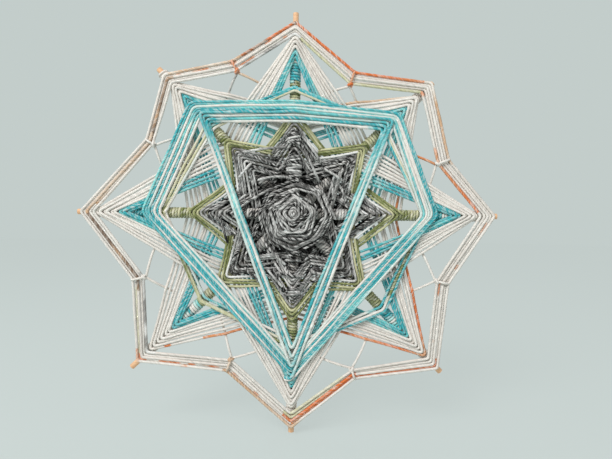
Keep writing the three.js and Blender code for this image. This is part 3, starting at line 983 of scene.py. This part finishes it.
class OJO_PG_wool(bpy.types.PropertyGroup):
    cream: wool_colour("Cream", "Off-white wool of the ring and the star", CREAM)
    rosy: wool_colour("Rosy", "Warmer stretches of the off-white wool", ROSY)
    teal: wool_colour("Teal", "Deepest turquoise", TEAL)
    aqua: wool_colour("Aqua", "Middle turquoise", AQUA)
    mist: wool_colour("Mist", "Turquoise where it has nearly faded to white", MIST)
    olive: wool_colour("Olive", "Green wool of the squares' borders and the arms", OLIVE)
    straw: wool_colour("Straw", "Pale stretches of the green wool", STRAW)
    charcoal: wool_colour("Charcoal", "Dark plies of the gray wool", CHARCOAL)
    slate: wool_colour("Slate", "Middle gray", SLATE)
    ash: wool_colour("Ash", "Pale plies of the gray wool", ASH)
    orange: wool_colour("Orange", "Orange stretches of the ring's wool", ORANGE)
    tan: wool_colour("Tan", "Tan stretches of the ring's wool", TAN)
    brown: wool_colour("Brown", "Brown stretches of the ring's wool", BROWN)
    lay: bpy.props.FloatProperty(
        name="Lay of the plies", description="Length of strand in which the plies twist once round",
        default=PLY_LAY * MM, min=0.003, max=0.03, unit="LENGTH")
    thickness: bpy.props.FloatProperty(
        name="Thickness", description="Width of a strand", default=STRAND_WIDTH * MM,
        min=0.001, max=0.004, unit="LENGTH")
    fibre: bpy.props.FloatProperty(
        name="Fibre", description="Strength of the fine fibres on the strands", default=0.55, min=0, max=1,
        subtype="FACTOR")


class OJO_PG_stage(bpy.types.PropertyGroup):
    backdrop: bpy.props.FloatVectorProperty(
        name="Backdrop", description="Colour of the floor and backdrop",
        default=(0.79, 0.83, 0.82), min=0, max=1, subtype="COLOR_GAMMA")
    daylight: bpy.props.FloatProperty(
        name="Daylight", description="Strength of the light from all round", default=0.62, min=0, max=3)
    lamp: bpy.props.FloatProperty(
        name="Lamp", description="Power of the large soft lamp", default=11.0, min=0, max=50, unit="POWER")
    distance: bpy.props.FloatProperty(
        name="Camera distance", description="From the camera to the plane of the dowels",
        default=0.338, min=0.1, max=5, unit="LENGTH")


# Operators

# The wool whose palest fibres aren't cream
PALE_FIBRES = {"spun_green": "straw", "spun_gray": "ash"}
DOWEL_ANGLES = {"vertical": 90.0, "horizontal": 0.0, "rising": 44.0, "falling": -46.4}


def dress(name, finish_name):
    """Spins the wool of one CAD winding, and puts it in that winding's place."""
    finish = bpy.data.materials.get(finish_name) or wool_finish(finish_name, PALE_FIBRES.get(finish_name, "cream"))
    piece = spin_wool(name, finish)
    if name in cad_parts:
        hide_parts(name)
    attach(piece, "root")
    return piece


def plan():
    """Lays out all the strands once, because each rests on the others."""
    if not strands:
        wind_everything()


class OJO_OT_dowels(bpy.types.Operator):
    """Gives the four dowels their wood, with the grain along each"""
    bl_idname = "ojo.dowels"
    bl_label = "Dowels"

    def execute(self, context):
        for name, angle in DOWEL_ANGLES.items():
            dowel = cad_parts["dowel_" + name]
            finish = dowel_finish("dowel_" + name, angle)
            dowel.material_slots[0].material = finish
        return {"FINISHED"}


class OJO_OT_ring(bpy.types.Operator):
    """Winds the outer ring of five strands, with the ties between the arms"""
    bl_idname = "ojo.ring"
    bl_label = "Outer ring and ties"

    def execute(self, context):
        plan()
        dress("outer_ring", "spun_ring")
        for index, (name, *_) in enumerate(ARMS):
            dress("valley_tie_" + name, "spun_ties")
        return {"FINISHED"}


class OJO_OT_star(bpy.types.Operator):
    """Winds the star's two zigzags, white outside and turquoise inside"""
    bl_idname = "ojo.star"
    bl_label = "Star"

    def execute(self, context):
        plan()
        for name in ("cardinal", "diagonal"):
            dress(f"star_{name}_white", "spun_star")
            dress(f"star_{name}_turquoise", "spun_star_turquoise")
        return {"FINISHED"}


class OJO_OT_arms(bpy.types.Operator):
    """Winds wool round each arm in touching turns"""
    bl_idname = "ojo.arms"
    bl_label = "Wound arms"

    def execute(self, context):
        plan()
        for name, *_ in ARMS:
            dress("arm_wrap_" + name, "spun_arms")
        return {"FINISHED"}


class OJO_OT_octagon(bpy.types.Operator):
    """Winds the loose octagon of single strands"""
    bl_idname = "ojo.octagon"
    bl_label = "Octagon strands"

    def execute(self, context):
        plan()
        dress("octagon_strands", "spun_octagon")
        return {"FINISHED"}


class OJO_OT_squares(bpy.types.Operator):
    """Winds the two squares, green outside and gray inside, with the loose strands on them"""
    bl_idname = "ojo.squares"
    bl_label = "Squares"

    def execute(self, context):
        plan()
        for name in ("cardinal", "diagonal"):
            dress("green_square_" + name, "spun_green")
            dress("gray_square_" + name, "spun_gray")
            dress("inner_square_" + name, "spun_gray")
        dress("loose_strands", "spun_gray")
        return {"FINISHED"}


class OJO_OT_eye(bpy.types.Operator):
    """Winds the rounded eye over the crossed dowels"""
    bl_idname = "ojo.eye"
    bl_label = "Eye"

    def execute(self, context):
        plan()
        dress("eye_rose", "spun_gray")
        return {"FINISHED"}


class OJO_OT_bands(bpy.types.Operator):
    """Winds the pentagon and the triangle in front of the rest"""
    bl_idname = "ojo.bands"
    bl_label = "Pentagon and triangle"

    def execute(self, context):
        plan()
        dress("pentagon_band", "spun_bands")
        dress("triangle_band", "spun_bands")
        return {"FINISHED"}


class OJO_OT_stage(bpy.types.Operator):
    """Sets a pale floor, soft light and the camera"""
    bl_idname = "ojo.stage"
    bl_label = "Stage"

    def execute(self, context):
        settings = context.scene.ojo_stage
        sheet = bpy.data.meshes.new("floor")
        form = bmesh.new()
        bmesh.ops.create_circle(form, cap_ends=True, segments=96, radius=FLOOR_RADIUS)
        bmesh.ops.translate(form, verts=form.verts, vec=(0, 0, CAD_BOX[0][2] - FLOOR_GAP))
        form.to_mesh(sheet)
        form.free()
        sheet.materials.append(plain_finish("floor", settings.backdrop, FLOOR_GLOW))
        floor = bpy.data.objects.new("floor", sheet)
        context.scene.collection.objects.link(floor)
        context.scene.world = daylight(settings.backdrop, settings.daylight)

        lamp = bpy.data.lights.new("soft_lamp", "AREA")
        lamp.shape = "DISK"
        lamp.size = LAMP_SIZE
        lamp.energy = settings.lamp
        lamp_object = bpy.data.objects.new("soft_lamp", lamp)
        lamp_object.location = LAMP_PLACE
        aim = Vector((0, 0, 0)) - lamp_object.location
        lamp_object.rotation_euler = aim.to_track_quat("-Z", "Y").to_euler()
        context.scene.collection.objects.link(lamp_object)

        camera = bpy.data.cameras.new("camera")
        camera.sensor_width = SENSOR_WIDTH
        camera.lens = PHOTO_FOCUS / PHOTO_WIDTH * SENSOR_WIDTH
        camera.clip_start = 0.01
        viewer = bpy.data.objects.new("camera", camera)
        lean = math.radians(CAMERA_LEAN)
        turn = Matrix.Rotation(-lean, 4, "Y") @ Matrix.Rotation(math.radians(90), 4, "X")
        aside = turn.to_3x3() @ Vector(CAMERA_SHIFT)
        viewer.matrix_world = Matrix.Translation(Vector((0, -settings.distance, 0)) + aside) @ turn
        context.scene.collection.objects.link(viewer)
        context.scene.camera = viewer
        context.scene.view_settings.view_transform = "Standard"
        return {"FINISHED"}


STEPS = (
    OJO_OT_dowels, OJO_OT_ring, OJO_OT_star, OJO_OT_arms, OJO_OT_octagon,
    OJO_OT_squares, OJO_OT_eye, OJO_OT_bands, OJO_OT_stage,
)


class OJO_PT_panel(bpy.types.Panel):
    """Lists the ornament's steps and settings"""
    bl_idname = "OJO_PT_panel"
    bl_label = "Ojo de dios"
    bl_space_type = "VIEW_3D"
    bl_region_type = "UI"
    bl_category = "Ojo de dios"

    def draw(self, context):
        for step in STEPS:
            self.layout.operator(step.bl_idname)
        for settings in (context.scene.ojo_dowels, context.scene.ojo_wool, context.scene.ojo_stage):
            box = self.layout.box()
            for name in settings.__annotations__:
                box.prop(settings, name)


GROUPS = {"ojo_dowels": OJO_PG_dowels, "ojo_wool": OJO_PG_wool, "ojo_stage": OJO_PG_stage}


def register():
    for item in (*GROUPS.values(), *STEPS, OJO_PT_panel):
        bpy.utils.register_class(item)
    for name, group in GROUPS.items():
        setattr(bpy.types.Scene, name, bpy.props.PointerProperty(type=group))


def unregister():
    for name in GROUPS:
        delattr(bpy.types.Scene, name)
    for item in reversed((*GROUPS.values(), *STEPS, OJO_PT_panel)):
        bpy.utils.unregister_class(item)


def main():
    register()
    bpy.ops.ojo.dowels()
    bpy.ops.ojo.ring()
    bpy.ops.ojo.star()
    bpy.ops.ojo.arms()
    bpy.ops.ojo.octagon()
    bpy.ops.ojo.squares()
    bpy.ops.ojo.eye()
    bpy.ops.ojo.bands()
    bpy.ops.ojo.stage()
    bpy.data.objects.remove(bpy.data.objects["ply_section"])


if __name__ == "__main__":
    main()
